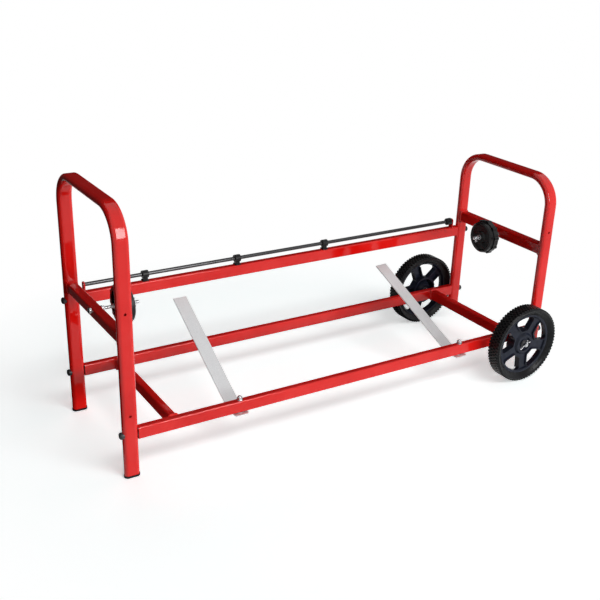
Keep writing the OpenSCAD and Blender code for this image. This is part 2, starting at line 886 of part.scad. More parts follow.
// Tyre with swelling side walls and staggered rows of tread blocks. Local Z = 0 is its outboard face, and
// Z runs inboard.
module tyre() {
    base = wheel_diameter / 2 - tread_depth;
    shoulder = 2;
    step = 0.8;
    wall = base - tyre_seat;
    side = [[tyre_seat, rim_inset], [tyre_seat + 0.25 * wall, 0.55 * rim_inset],
        [tyre_seat + 0.5 * wall, 0.2 * rim_inset], [tyre_seat + 0.8 * wall, 0], [base, shoulder + step]];
    other_side = [for (i = [len(side) - 1:-1:0]) [side[i][0], wheel_width - side[i][1]]];
    row_width = (wheel_width - 2 * shoulder) / lug_rows;
    union() {
        rotate_extrude($fn = 96) polygon(concat(side, other_side));
        for (row = [0:lug_rows - 1]) translate([0, 0, shoulder + row * row_width])
            lug_row(row_width, row % 2 * 180 / lug_count);
    }
}

// Puts a wheel's children with their outboard face at the right place, in front or at the rear
module at_wheel(side) {
    turn = side < 0 ? front_wheel_angle : rear_wheel_angle;
    translate([axle_x, side * wheel_outer_y, axle_z]) rotate([side * 90, 0, 0]) rotate(turn) children();
}

// Bush pressed in the rim
module wheel_bush_sleeve() {
    translate([0, 0, boss_floor - bush_overhang])
        washer(axle_diameter + 2 * running_fit, wheel_bush, wheel_width - boss_floor + 2 * bush_overhang);
}

module front_wheel_rim() {
    color(moulded_black) at_wheel(-1) rim();
}

module front_wheel_tyre() {
    color(rubber_black) at_wheel(-1) tyre();
}

module front_wheel_bush() {
    color(zinc) at_wheel(-1) wheel_bush_sleeve();
}

module rear_wheel_rim() {
    color(moulded_black) at_wheel(1) rim();
}

module rear_wheel_tyre() {
    color(rubber_black) at_wheel(1) tyre();
}

module rear_wheel_bush() {
    color(zinc) at_wheel(1) wheel_bush_sleeve();
}

// ---------------------------------------------------------------- support arms

// Side outline of an arm: tail, bend and blade, from its pivot towards +X, with its tail's top on Y = 0
function arm_outline(slope) =
    let (
        bend_centre = [arm_bend_offset, arm_bend_radius],
        outer_radius = arm_bend_radius + arm_thickness,
        down = [sin(slope), -cos(slope)],
        run = arm_blade * ray(slope),
        top_bend = arc(bend_centre, arm_bend_radius, 270, 270 + slope, 6),
        low_bend = arc(bend_centre, outer_radius, 270 + slope, 270, 6),
        top_tip = bend_centre + arm_bend_radius * down + run,
        low_tip = bend_centre + outer_radius * down + run
    )
    concat([[-arm_tail, 0]], top_bend, [top_tip, low_tip], low_bend, [[-arm_tail, -arm_thickness]]);

// Bent flat bar with a pivot hole. Its pivot is on local Z, and it points along +Y.
module arm(slope) {
    reach = arm_bend_offset + arm_blade * cos(slope) + arm_bend_radius + arm_thickness;
    difference() {
        intersection() {
            rotate([90, 0, 90]) linear_extrude(arm_width, center = true) polygon(arm_outline(slope));
            translate([0, (reach - arm_tail) / 2, -2 * arm_thickness]) linear_extrude(arm_blade)
                rounded_rect(arm_width, reach + arm_tail, plan_corner);
        }
        cylinder(d = pivot_diameter + 2 * running_fit, h = 4 * arm_thickness, center = true);
    }
}

module left_arm() {
    color(arm_grey) translate([arm_pivots[0], -leg_y, arm_top]) rotate(left_arm_angle) arm(left_arm_slope);
}

module right_arm() {
    color(arm_grey) translate([arm_pivots[1], -leg_y, arm_top]) rotate(right_arm_angle) arm(right_arm_slope);
}

// Puts the children at both arm pivots, on the given height
module at_pivots(z) {
    for (x = arm_pivots) translate([x, -leg_y, z]) children();
}

// Pivot bolt with its head below the arm, up through the rail to the nut
module arm_bolts() {
    head_z = arm_bottom - arm_gap;
    shank = rail_top + arm_washer_t + pivot_nut_h - head_z;
    color(zinc) at_pivots(head_z) {
        mirror([0, 0, 1]) button_head(pivot_head_d, pivot_head_h, pivot_diameter * 0.6);
        translate([0, 0, -head_root]) cylinder(d = pivot_diameter, h = shank + head_root);
    }
}

module arm_washers() {
    hole = pivot_diameter + 2 * screw_clearance;
    outer = 2 * pivot_diameter + 1;
    color(zinc) {
        at_pivots(rail_bottom - arm_washer_t) washer(hole, outer, arm_washer_t);
        at_pivots(rail_top) washer(hole, outer, arm_washer_t);
    }
}

// Dome nut on top of the rail
module arm_nuts() {
    thread = pivot_diameter + 2 * running_fit;
    dome_r = pivot_nut_af / 2 - 0.4;
    dome = [for (a = [0:15:75]) [dome_r * cos(a), pivot_nut_h + pivot_dome * sin(a)]];
    color(zinc) at_pivots(rail_top + arm_washer_t) difference() {
        union() {
            intersection() {
                cylinder(d = pivot_nut_af / cos(30), h = pivot_nut_h, $fn = 6);
                nut_rounding(pivot_nut_af, pivot_nut_h);
            }
            rotate_extrude() polygon(concat([[0, pivot_nut_h - cut], [dome_r, pivot_nut_h - cut]], dome,
                [[0, pivot_nut_h + pivot_dome]]));
        }
        translate([0, 0, -cut]) cylinder(d = thread, h = pivot_nut_h + cut + 0.5);
    }
}

// ---------------------------------------------------------------- nodes

left_hoop();
right_hoop();
left_crossbar();
right_crossbar();
upper_rail();
front_rail();
rear_rail();
left_brace();
axle_housing();
rail_inserts();
frame_bolts();
saddle_washers();
foot_plugs();
leg_plugs();
guide_rod();
rod_tabs();
rod_clips();
rod_collar();
left_spindle();
right_spindle();
spindle_nuts();
spindle_washers();
spindle_pins();
left_core_plug();
right_core_plug();
left_plug_bush();
right_plug_bush();
axle();
axle_spacers();
axle_washers();
axle_pins();
front_wheel_rim();
front_wheel_tyre();
front_wheel_bush();
rear_wheel_rim();
rear_wheel_tyre();
rear_wheel_bush();
left_arm();
right_arm();
arm_bolts();
arm_washers();
arm_nuts();
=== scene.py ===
import math
import bpy
import numpy as np
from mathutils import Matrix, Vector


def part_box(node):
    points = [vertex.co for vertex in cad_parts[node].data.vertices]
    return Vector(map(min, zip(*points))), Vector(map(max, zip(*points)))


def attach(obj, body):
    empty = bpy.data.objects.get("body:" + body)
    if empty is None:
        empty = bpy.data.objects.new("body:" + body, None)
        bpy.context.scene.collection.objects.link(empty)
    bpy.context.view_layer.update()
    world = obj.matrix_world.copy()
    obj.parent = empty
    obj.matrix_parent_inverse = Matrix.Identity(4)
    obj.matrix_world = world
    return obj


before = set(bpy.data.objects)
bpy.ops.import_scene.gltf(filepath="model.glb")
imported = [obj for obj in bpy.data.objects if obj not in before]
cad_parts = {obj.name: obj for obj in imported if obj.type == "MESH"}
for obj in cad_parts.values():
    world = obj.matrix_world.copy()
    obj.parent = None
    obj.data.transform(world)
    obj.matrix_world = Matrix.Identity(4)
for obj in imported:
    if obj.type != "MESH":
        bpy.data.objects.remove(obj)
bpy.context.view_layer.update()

# ---------------------------------------------------------------- Red tubes of the frame
# Two bent hoops of flat-oval steel tube with a crossbar welded in each, and three long rails with two cross
# tubes welded between the lower ones. All are powder coated in a gloss red that flows to a faint ripple.


def add(tree, kind, inputs=None, **settings):
    """Adds one shader node: settings are its options, and each input takes a value or another output."""
    made = tree.nodes.new(kind)
    for key, value in settings.items():
        setattr(made, key, value)
    for key, value in (inputs or {}).items():
        if isinstance(value, bpy.types.NodeSocket):
            tree.links.new(value, made.inputs[key])
        else:
            made.inputs[key].default_value = value
    return made


def math_node(tree, operation, a, b=0.0):
    """The result of one arithmetic step on two values or outputs."""
    return add(tree, "ShaderNodeMath", {0: a, 1: b}, operation=operation).outputs[0]


def blend_colours(tree, factor, a, b):
    """Colour a where the factor is 0, colour b where it is 1."""
    return add(tree, "ShaderNodeMix", {0: factor, 6: a, 7: b}, data_type="RGBA").outputs[2]


def band(tree, value, low, high, out_low=0.0, out_high=1.0):
    """A value stretched so that low becomes out_low and high becomes out_high, held at both ends."""
    return add(tree, "ShaderNodeMapRange", {0: value, 1: low, 2: high, 3: out_low, 4: out_high}).outputs[0]


def start_group(name, inputs, outputs):
    """A shader node group with float inputs, each with its starting value, and named float outputs."""
    tree = bpy.data.node_groups.new(name, "ShaderNodeTree")
    tree.interface.new_socket("Place", in_out="INPUT", socket_type="NodeSocketVector")
    for key, value in inputs.items():
        tree.interface.new_socket(key, in_out="INPUT", socket_type="NodeSocketFloat").default_value = value
    for key in outputs:
        tree.interface.new_socket(key, in_out="OUTPUT", socket_type="NodeSocketFloat")
    return tree, add(tree, "NodeGroupInput").outputs, add(tree, "NodeGroupOutput").inputs


def place_group(tree, group, place, **values):
    """Puts a group in a material with its own values; returns its outputs."""
    return add(tree, "ShaderNodeGroup", {"Place": place, **values}, node_tree=group).outputs


def start_material(name):
    """An empty principled material: its tree, its shader and the object coordinates, in metres."""
    made = bpy.data.materials.new(name)
    made.use_nodes = True
    tree = made.node_tree
    place = add(tree, "ShaderNodeTexCoord").outputs["Object"]
    return made, tree, tree.nodes["Principled BSDF"], place


def bump(tree, shader, height, distance, strength=1.0):
    """Turns a height, in units of distance, into the shader's normal."""
    made = add(tree, "ShaderNodeBump", {"Height": height, "Distance": distance, "Strength": strength})
    tree.links.new(made.outputs[0], shader.inputs["Normal"])


def dress(material, *names):
    """Gives a material to CAD nodes, by name."""
    for name in names:
        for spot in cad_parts[name].material_slots:
            spot.material = material


# Coat ripple: soft cells a few millimetres wide under a finer, shallower ripple, plus rare pin-head nibs
coat_ripple, given, put = start_group("coat_ripple", {"Size": 0.003, "Nibs": 0.0}, ["Height"])
grain = math_node(coat_ripple, "DIVIDE", 1.0, given["Size"])
cells = add(coat_ripple, "ShaderNodeTexNoise", {"Vector": given["Place"], "Scale": grain, "Detail": 1.0})
finer_grain = math_node(coat_ripple, "MULTIPLY", grain, 3.1)
fine = add(coat_ripple, "ShaderNodeTexNoise",
           {"Vector": given["Place"], "Scale": finer_grain, "Detail": 2.0})
nib_grain = math_node(coat_ripple, "MULTIPLY", grain, 0.2)
spots = add(coat_ripple, "ShaderNodeTexVoronoi", {"Vector": given["Place"], "Scale": nib_grain})
peaks = band(coat_ripple, spots.outputs["Distance"], 0.0, 0.06, 1.0, 0.0)
nib = math_node(coat_ripple, "MULTIPLY", peaks, given["Nibs"])
shallow = math_node(coat_ripple, "MULTIPLY", fine.outputs[0], 0.3)
both = math_node(coat_ripple, "ADD", cells.outputs[0], shallow)
coat_ripple.links.new(math_node(coat_ripple, "ADD", both, nib), put["Height"])

# Handling film: dust that settles in broad soft patches, and thin rubs where hands and floor have touched
handling_film, given, put = start_group("handling_film", {"Patch": 0.08, "Streak": 0.012}, ["Dust", "Rubs"])
patch = add(handling_film, "ShaderNodeTexNoise",
            {"Vector": given["Place"], "Scale": math_node(handling_film, "DIVIDE", 1.0, given["Patch"]),
             "Detail": 5.0, "Roughness": 0.6})
warped = add(handling_film, "ShaderNodeTexNoise",
             {"Vector": given["Place"], "Scale": math_node(handling_film, "DIVIDE", 1.0, given["Streak"]),
              "Detail": 6.0, "Roughness": 0.75, "Distortion": 1.5})
handling_film.links.new(band(handling_film, patch.outputs[0], 0.42, 0.72), put["Dust"])
handling_film.links.new(band(handling_film, warped.outputs[0], 0.62, 0.70), put["Rubs"])

paint, tree, shader, place = start_material("red_powder_coat")
film = place_group(tree, handling_film, place, Patch=0.11, Streak=0.02)
tone = add(tree, "ShaderNodeTexNoise", {"Vector": place, "Scale": 9.0, "Detail": 2.0}).outputs[0]
red = blend_colours(tree, band(tree, tone, 0.35, 0.65), (0.67, 0.006, 0.004, 1), (0.76, 0.008, 0.006, 1))
dusty = blend_colours(tree, math_node(tree, "MULTIPLY", film["Dust"], 0.035), red, (0.62, 0.30, 0.27, 1))
tree.links.new(dusty, shader.inputs["Base Color"])
clean_roughness, dust_roughness, rub_roughness = 0.04, 0.04, 0.08
dulled = math_node(tree, "ADD", clean_roughness, math_node(tree, "MULTIPLY", film["Dust"], dust_roughness))
rubbed = math_node(tree, "ADD", dulled, math_node(tree, "MULTIPLY", film["Rubs"], rub_roughness))
tree.links.new(rubbed, shader.inputs["Roughness"])
shader.inputs["Specular IOR Level"].default_value = 0.36
ripple = place_group(tree, coat_ripple, place, Size=0.0026, Nibs=0.6)
bump(tree, shader, ripple["Height"], 0.00001, 0.7)
dress(paint, "left_hoop", "right_hoop", "left_crossbar", "right_crossbar", "upper_rail", "front_rail",
      "rear_rail", "left_brace", "axle_housing", "rod_tabs")

# ---------------------------------------------------------------- Weld beads
# Each crossbar and cross tube is welded all round where it meets a leg or a rail, in short overlapping
# puddles that leave a scaly bead. The coat covers the beads, so they are the same red as the tubes.


def build_mesh(name, points, loop_u, material):
    """A grid of points, shape (u, v, 3), as one closed piece that rides on the trolley's frame. Each row
    along v is a ring. The first and last ring join where loop_u says so; otherwise each gets a flat face."""
    nu, nv = points.shape[:2]
    u, v = np.meshgrid(np.arange(nu if loop_u else nu - 1), np.arange(nv), indexing="ij")
    u1, v1 = (u + 1) % nu, (v + 1) % nv
    faces = np.stack([u * nv + v, u1 * nv + v, u1 * nv + v1, u * nv + v1], -1).reshape(-1, 4).tolist()
    if not loop_u:
        faces += [list(range(nv)), list(range(nu * nv - 1, (nu - 1) * nv - 1, -1))]
    mesh = bpy.data.meshes.new(name)
    mesh.from_pydata(points.reshape(-1, 3), [], faces)
    mesh.polygons.foreach_set("use_smooth", np.ones(len(faces), bool))
    mesh.materials.append(material)
    piece = bpy.data.objects.new(name, mesh)
    bpy.context.scene.collection.objects.link(piece)
    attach(piece, "trolley_frame")


def rounded_loop(width, height, corner, count):
    """Points of a rounded rectangle in its own plane, evenly spaced along its outline, and their outward
    directions: four straight runs and four quarter circles, walked by arc length."""
    a, b = width / 2 - corner, height / 2 - corner
    quarter = corner * math.pi / 2
    lengths = np.array([2 * b, quarter, 2 * a, quarter] * 2)
    ends = np.concatenate([[0], np.cumsum(lengths)])
    s = np.arange(count) / count * ends[-1]
    run = np.searchsorted(ends, s, side="right") - 1
    t = (s - ends[run]) / lengths[run]
    turn = (run // 2) * math.pi / 2
    bend = run % 2
    angle = turn + bend * t * math.pi / 2
    out = np.stack([np.cos(angle), np.sin(angle)], -1)
    sign = np.array([[1, 1], [-1, 1], [-1, -1], [1, -1]])
    centre = sign[run // 2] * np.array([a, b])
    before = sign[(run // 2 - 1) % 4] * np.array([a, b])
    straight = before + (centre - before) * t[:, None]
    return np.where(bend[:, None] == 1, centre, straight) + corner * out, out, ends[-1]


def weld_bead(name, centre, width, height, radius):
    """A bead round a tube of that section where it meets a wall across Y. The outline is walked once, and a
    circle is carried along it; its radius swells and falls once a puddle, and the swelling leans back round
    the circle, which makes the crescent scales. A few slow waves along the seam make it uneven."""
    tube_corner, puddle_length, steps_along, steps_round = 0.003, 0.0026, 480, 14
    scale_share, scale_lean, wave_share, waves = 0.10, 1.1, 0.07, 7
    flat, out, length = rounded_loop(width, height, tube_corner, steps_along)
    puddles = round(length / puddle_length)
    u = np.arange(steps_along)[:, None] / steps_along
    v = np.arange(steps_round)[None, :] / steps_round * 2 * math.pi
    phase = 2 * math.pi * puddles * u + scale_lean * np.cos(v - math.pi / 4)
    slow = np.sin(2 * math.pi * waves * u + 1.3) ** 2
    swell = radius * (1 + scale_share * np.sin(phase) + wave_share * slow)
    side = -np.sign(centre[1])
    outward = swell * np.cos(v)
    along = swell * np.sin(v) * side
    points = np.stack([centre[0] + flat[:, 0:1] + out[:, 0:1] * outward,
                       centre[1] + along,
                       centre[2] + flat[:, 1:2] + out[:, 1:2] * outward], -1)
    if side > 0:
        points = points[::-1]
    build_mesh(name, points, True, paint)


for name, tube, bead_radius in (("left_crossbar", "left_crossbar", 0.0030),
                                ("right_crossbar", "right_crossbar", 0.0030),
                                ("brace", "left_brace", 0.0027),
                                ("housing", "axle_housing", 0.0027)):
    low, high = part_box(tube)
    middle, size = (low + high) / 2, high - low
    for side, y in (("front", low.y), ("rear", high.y)):
        weld_bead(f"{name}_weld_{side}", (middle.x, y, middle.z), size.x, size.z, bead_radius)

# ---------------------------------------------------------------- Frame bolts
# Six M8 button-head screws hold the rails between the hoops. Each stands on a saddle washer hollowed to the
# tube's round side and bites a threaded block inside the rail. All are steel with a black oxide finish.

oxide, tree, shader, place = start_material("black_oxide_steel")
film = place_group(tree, handling_film, place, Patch=0.02, Streak=0.003)
mottle = add(tree, "ShaderNodeTexNoise", {"Vector": place, "Scale": 420.0, "Detail": 4.0}).outputs[0]
black = blend_colours(tree, band(tree, mottle, 0.3, 0.7), (0.010, 0.010, 0.011, 1), (0.03, 0.03, 0.032, 1))
bare = math_node(tree, "MULTIPLY", film["Rubs"], 0.5)
tree.links.new(blend_colours(tree, bare, black, (0.3, 0.3, 0.31, 1)), shader.inputs["Base Color"])
tree.links.new(bare, shader.inputs["Metallic"])
tree.links.new(band(tree, mottle, 0.3, 0.7, 0.28, 0.45), shader.inputs["Roughness"])
bump(tree, shader, mottle, 0.00003)
dress(oxide, "frame_bolts", "saddle_washers", "rail_inserts", "axle_washers")

# ---------------------------------------------------------------- Foot and leg plugs
# Black polyethylene plugs are driven into the legs: two flanged feet under the left hoop, two flush plugs
# under the right one. They come from a spark-eroded mould, which leaves a fine even grain.

# Moulded grain: sharp small pits under a slow change of sheen, as the mould's surface leaves them
moulded_grain, given, put = start_group("moulded_grain", {"Size": 0.0005}, ["Height", "Sheen"])
grain = math_node(moulded_grain, "DIVIDE", 1.0, given["Size"])
pits = add(moulded_grain, "ShaderNodeTexVoronoi", {"Vector": given["Place"], "Scale": grain})
slow_grain = math_node(moulded_grain, "MULTIPLY", grain, 0.03)
slow = add(moulded_grain, "ShaderNodeTexNoise",
           {"Vector": given["Place"], "Scale": slow_grain, "Detail": 3.0})
moulded_grain.links.new(pits.outputs["Distance"], put["Height"])
moulded_grain.links.new(slow.outputs[0], put["Sheen"])

plastic, tree, shader, place = start_material("moulded_black_plastic")
grain_out = place_group(tree, moulded_grain, place, Size=0.0006)
film = place_group(tree, handling_film, place, Patch=0.03, Streak=0.005)
black = blend_colours(tree, band(tree, grain_out["Sheen"], 0.3, 0.7), (0.006, 0.006, 0.007, 1),
                      (0.012, 0.012, 0.013, 1))
scuffed = blend_colours(tree, math_node(tree, "MULTIPLY", film["Rubs"], 0.3), black, (0.06, 0.06, 0.06, 1))
dusty = blend_colours(tree, math_node(tree, "MULTIPLY", film["Dust"], 0.03), scuffed, (0.25, 0.24, 0.22, 1))
tree.links.new(dusty, shader.inputs["Base Color"])
tree.links.new(band(tree, grain_out["Sheen"], 0.3, 0.7, 0.22, 0.36), shader.inputs["Roughness"])
shader.inputs["Specular IOR Level"].default_value = 0.2
bump(tree, shader, grain_out["Height"], 0.00003, 0.6)
dress(plastic, "foot_plugs", "leg_plugs", "rod_clips", "rod_collar", "left_core_plug", "right_core_plug")

# ---------------------------------------------------------------- Guide rod
# A drawn 8 mm rod of dark steel lies over the upper rail, in two welded tabs, three snap-in clips and a
# collar with a grub screw. Drawing leaves fine lines along it, and the sheet rubs it bright in places.

# Drawn lines: noise pulled out along one axis, as a die or a roller leaves it
drawn_lines, given, put = start_group("drawn_lines", {"Across": 0.0002, "Along": 0.03}, ["Height", "Shade"])
parts = add(drawn_lines, "ShaderNodeSeparateXYZ", {0: given["Place"]}).outputs
pulled = add(drawn_lines, "ShaderNodeCombineXYZ",
             {0: math_node(drawn_lines, "DIVIDE", parts[0], given["Along"]),
              1: math_node(drawn_lines, "DIVIDE", parts[1], given["Across"]),
              2: math_node(drawn_lines, "DIVIDE", parts[2], given["Across"])}).outputs[0]
lines = add(drawn_lines, "ShaderNodeTexNoise", {"Vector": pulled, "Scale": 1.0, "Detail": 3.0}).outputs[0]
drawn_lines.links.new(lines, put["Height"])
drawn_lines.links.new(band(drawn_lines, lines, 0.3, 0.7), put["Shade"])

rod_steel, tree, shader, place = start_material("drawn_dark_steel")
lines = place_group(tree, drawn_lines, place, Across=0.0003, Along=0.04)
film = place_group(tree, handling_film, place, Patch=0.05, Streak=0.006)
steel = blend_colours(tree, lines["Shade"], (0.03, 0.03, 0.032, 1), (0.085, 0.085, 0.088, 1))
polished = blend_colours(tree, math_node(tree, "MULTIPLY", film["Rubs"], 0.4), steel, (0.3, 0.3, 0.3, 1))
tree.links.new(polished, shader.inputs["Base Color"])
shader.inputs["Metallic"].default_value = 0.85
tree.links.new(band(tree, lines["Shade"], 0.0, 1.0, 0.14, 0.24), shader.inputs["Roughness"])
bump(tree, shader, lines["Height"], 0.00002, 0.6)
dress(rod_steel, "guide_rod")

# Each tab stands on the rail with a short bead round its foot: a circle carried round the tab's outline,
# whose radius swells once a puddle
tabs_low, tabs_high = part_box("rod_tabs")
tab_thickness, tab_corner, tab_bead_radius, tab_puddles = 0.003, 0.0012, 0.0012, 17
bead_inset = 0.0001
steps_along, steps_round = 240, 12
bead_depth = tabs_high.y - tabs_low.y - 2 * bead_inset
flat, out, _ = rounded_loop(tab_thickness, bead_depth, tab_corner, steps_along)
u = np.arange(steps_along)[:, None] / steps_along
v = np.arange(steps_round)[None, :] / steps_round * 2 * math.pi
swell = tab_bead_radius * (1 + 0.12 * np.sin(2 * math.pi * tab_puddles * u + np.cos(v)))
for side, x in (("left", tabs_low.x + tab_thickness / 2), ("right", tabs_high.x - tab_thickness / 2)):
    points = np.stack([x + flat[:, 0:1] + out[:, 0:1] * swell * np.cos(v),
                       (tabs_low.y + tabs_high.y) / 2 + flat[:, 1:2] + out[:, 1:2] * swell * np.cos(v),
                       tabs_low.z + 2 * bead_inset + swell * np.sin(v)], -1)
    build_mesh(f"{side}_tab_weld", points, True, paint)

# ---------------------------------------------------------------- Spindles
# A zinc-plated M6 bolt passes each crossbar and carries a core plug between nuts and washers. Its thread is
# rolled, and a split pin keeps the last nut on.

zinc, tree, shader, place = start_material("zinc_plated_steel")
film = place_group(tree, handling_film, place, Patch=0.012, Streak=0.004)
flakes = add(tree, "ShaderNodeTexVoronoi", {"Vector": place, "Scale": 1400.0}).outputs["Distance"]
cloud = add(tree, "ShaderNodeTexNoise", {"Vector": place, "Scale": 160.0, "Detail": 3.0}).outputs[0]
plated = blend_colours(tree, band(tree, cloud, 0.3, 0.7), (0.44, 0.44, 0.46, 1), (0.64, 0.64, 0.65, 1))
dulled = blend_colours(tree, math_node(tree, "MULTIPLY", film["Dust"], 0.25), plated, (0.36, 0.35, 0.33, 1))
tree.links.new(dulled, shader.inputs["Base Color"])
shader.inputs["Metallic"].default_value = 1.0
tree.links.new(band(tree, cloud, 0.3, 0.7, 0.18, 0.3), shader.inputs["Roughness"])
bump(tree, shader, math_node(tree, "ADD", flakes, cloud), 0.00002, 0.6)
dress(zinc, "left_spindle", "right_spindle", "spindle_nuts", "spindle_washers", "spindle_pins", "axle",
      "axle_spacers", "axle_pins", "arm_bolts", "arm_washers", "arm_nuts")


def rolled_thread(name, start, end, height):
    """Thread crests on a level shaft along X, at that height. Along the shaft and round it, the radius is
    the shaft's plus a sharp wave of position over pitch minus the turn, so that its crests climb a helix;
    the wave fades out at both ends, into the shaft."""
    shaft_radius, pitch, crest, sunk = 0.003, 0.001, 0.00022, 0.00006
    steps_a_turn, steps_round, run_out_turns = 8, 28, 1.2
    turns = (end - start) / pitch
    s = np.linspace(0, 1, round(turns * steps_a_turn) + 1)[:, None]
    v = np.arange(steps_round)[None, :] / steps_round * 2 * math.pi
    x = start + (end - start) * s
    wave = 1 - 2 * np.abs(((x / pitch - v / (2 * math.pi)) % 1.0) - 0.5)
    fade = np.clip(np.minimum(s, 1 - s) * turns / run_out_turns, 0, 1)
    r = shaft_radius - sunk + (crest + sunk) * np.clip(wave * 1.25 - 0.15, 0, 1) * fade
    points = np.stack([x + 0 * v, r * np.cos(v), height + r * np.sin(v)], -1)
    build_mesh(name, points[:, ::-1], False, zinc)


# The bare stretches of each shaft, measured inwards from the middle of its crossbar
for side, inwards in (("left", 1), ("right", -1)):
    bar_low, bar_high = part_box(f"{side}_crossbar")
    shaft_low, shaft_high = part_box(f"{side}_spindle")
    bar_middle = (bar_low.x + bar_high.x) / 2
    for stretch, near, far in (("inner", 0.0166, 0.0346), ("tip", 0.0735, 0.0845)):
        start, end = sorted((bar_middle + inwards * near, bar_middle + inwards * far))
        rolled_thread(f"{side}_spindle_thread_{stretch}", start, end, (shaft_low.z + shaft_high.z) / 2)

# ---------------------------------------------------------------- Core plugs' bushes
# Each black core plug turns on a plain bush pressed into it, of sintered bronze-grey steel. The wheels'
# bushes are the same metal, finely porous and slightly oily.

sintered, tree, shader, place = start_material("sintered_bush_metal")
pores = add(tree, "ShaderNodeTexVoronoi", {"Vector": place, "Scale": 2600.0}).outputs["Distance"]
oil = add(tree, "ShaderNodeTexNoise", {"Vector": place, "Scale": 220.0, "Detail": 2.0}).outputs[0]
porous = blend_colours(tree, band(tree, pores, 0.1, 0.35), (0.12, 0.11, 0.10, 1), (0.40, 0.38, 0.35, 1))
tree.links.new(porous, shader.inputs["Base Color"])
shader.inputs["Metallic"].default_value = 0.9
tree.links.new(band(tree, oil, 0.3, 0.7, 0.25, 0.5), shader.inputs["Roughness"])
bump(tree, shader, pores, 0.00003, 0.7)
dress(sintered, "left_plug_bush", "right_plug_bush", "front_wheel_bush", "rear_wheel_bush")

# ---------------------------------------------------------------- Wheels
# Five-spoke rims of glass-filled nylon, moulded in one, with a rubber tyre stretched over each. The rim has
# a satin bluish black skin with flow marks; the tyre is duller, and greyer where its lugs meet the floor.

rim_plastic, tree, shader, place = start_material("wheel_nylon")
grain_out = place_group(tree, moulded_grain, place, Size=0.0009)
film = place_group(tree, handling_film, place, Patch=0.04, Streak=0.006)
flow = add(tree, "ShaderNodeTexNoise",
           {"Vector": place, "Scale": 45.0, "Detail": 4.0, "Distortion": 1.2}).outputs[0]
black = blend_colours(tree, band(tree, flow, 0.35, 0.65), (0.009, 0.011, 0.020, 1), (0.016, 0.019, 0.032, 1))
dusty = blend_colours(tree, math_node(tree, "MULTIPLY", film["Dust"], 0.012), black, (0.3, 0.3, 0.3, 1))
tree.links.new(dusty, shader.inputs["Base Color"])
tree.links.new(band(tree, flow, 0.3, 0.7, 0.15, 0.27), shader.inputs["Roughness"])
shader.inputs["Specular IOR Level"].default_value = 0.15
bump(tree, shader, math_node(tree, "ADD", grain_out["Height"], flow), 0.00003, 0.5)
dress(rim_plastic, "front_wheel_rim", "rear_wheel_rim")

rubber, tree, shader, place = start_material("tyre_rubber")
grain_out = place_group(tree, moulded_grain, place, Size=0.0011)
film = place_group(tree, handling_film, place, Patch=0.03, Streak=0.007)
black = blend_colours(tree, band(tree, grain_out["Sheen"], 0.3, 0.7), (0.006, 0.006, 0.007, 1),
                      (0.011, 0.011, 0.012, 1))
tyre_low, tyre_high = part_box("front_wheel_tyre")
wheel_centre, tyre_radius = (tyre_low + tyre_high) / 2, (tyre_high.z - tyre_low.z) / 2
wear_start, wear_end = tyre_radius - 0.0018, tyre_radius - 0.0001
parts = add(tree, "ShaderNodeSeparateXYZ", {0: place}).outputs
across_x = math_node(tree, "SUBTRACT", parts[0], wheel_centre.x)
across_z = math_node(tree, "SUBTRACT", parts[2], wheel_centre.z)
reach = math_node(tree, "SQRT", math_node(tree, "ADD", math_node(tree, "MULTIPLY", across_x, across_x),
                                          math_node(tree, "MULTIPLY", across_z, across_z)))
worn = math_node(tree, "MULTIPLY", band(tree, reach, wear_start, wear_end),
                 band(tree, film["Dust"], 0.0, 1.0, 0.04, 0.16))
tree.links.new(blend_colours(tree, worn, black, (0.16, 0.155, 0.15, 1)), shader.inputs["Base Color"])
tree.links.new(band(tree, grain_out["Sheen"], 0.3, 0.7, 0.18, 0.34), shader.inputs["Roughness"])
shader.inputs["Specular IOR Level"].default_value = 0.12
lumps = add(tree, "ShaderNodeTexNoise", {"Vector": place, "Scale": 260.0, "Detail": 1.0}).outputs[0]
pits = math_node(tree, "MULTIPLY", grain_out["Height"], 0.06)
bump(tree, shader, math_node(tree, "ADD", lumps, pits), 0.0006)
dress(rubber, "front_wheel_tyre", "rear_wheel_tyre")

# ---------------------------------------------------------------- Support arms
# Two flat bars of bright steel, bent down by hand and bolted under the front rail, hold up the rolled sheet.
# The bars are rolled, which leaves faint lines along their length, and a little dust lies on them.

arm_steel, tree, shader, place = start_material("bright_flat_bar")
turned = add(tree, "ShaderNodeMapping",
             {"Vector": place, "Rotation": (0.0, 0.0, math.radians(90))}).outputs[0]
lines = place_group(tree, drawn_lines, turned, Across=0.0012, Along=0.09)
film = place_group(tree, handling_film, place, Patch=0.06, Streak=0.01)
bright = blend_colours(tree, lines["Shade"], (0.66, 0.67, 0.68, 1), (0.77, 0.78, 0.79, 1))
dulled = blend_colours(tree, math_node(tree, "MULTIPLY", film["Dust"], 0.12), bright, (0.42, 0.42, 0.41, 1))
tree.links.new(dulled, shader.inputs["Base Color"])
shader.inputs["Metallic"].default_value = 0.55
tree.links.new(band(tree, lines["Shade"], 0.0, 1.0, 0.38, 0.5), shader.inputs["Roughness"])
bump(tree, shader, lines["Height"], 0.00003, 0.5)
dress(arm_steel, "left_arm", "right_arm")

# ---------------------------------------------------------------- Studio
# The trolley stands on a white floor. A low key lights its open front and weak fills its other sides, a wide
# softbox high in front lays the rails' soft shadows, and two strips add nothing but glints.
# Black flags that only gloss sees keep the tops and the cross tubes' left sides dark.

scene = bpy.context.scene
scene.view_settings.view_transform = "Standard"


def white_where_seen(tree):
    """1 for the rays that show the background, to the eye or in metal and gloss; 0 for falling light."""
    ray = add(tree, "ShaderNodeLightPath").outputs
    return math_node(tree, "MAXIMUM", ray["Is Camera Ray"],
                     math_node(tree, "MAXIMUM", ray["Is Glossy Ray"], ray["Is Transmission Ray"]))


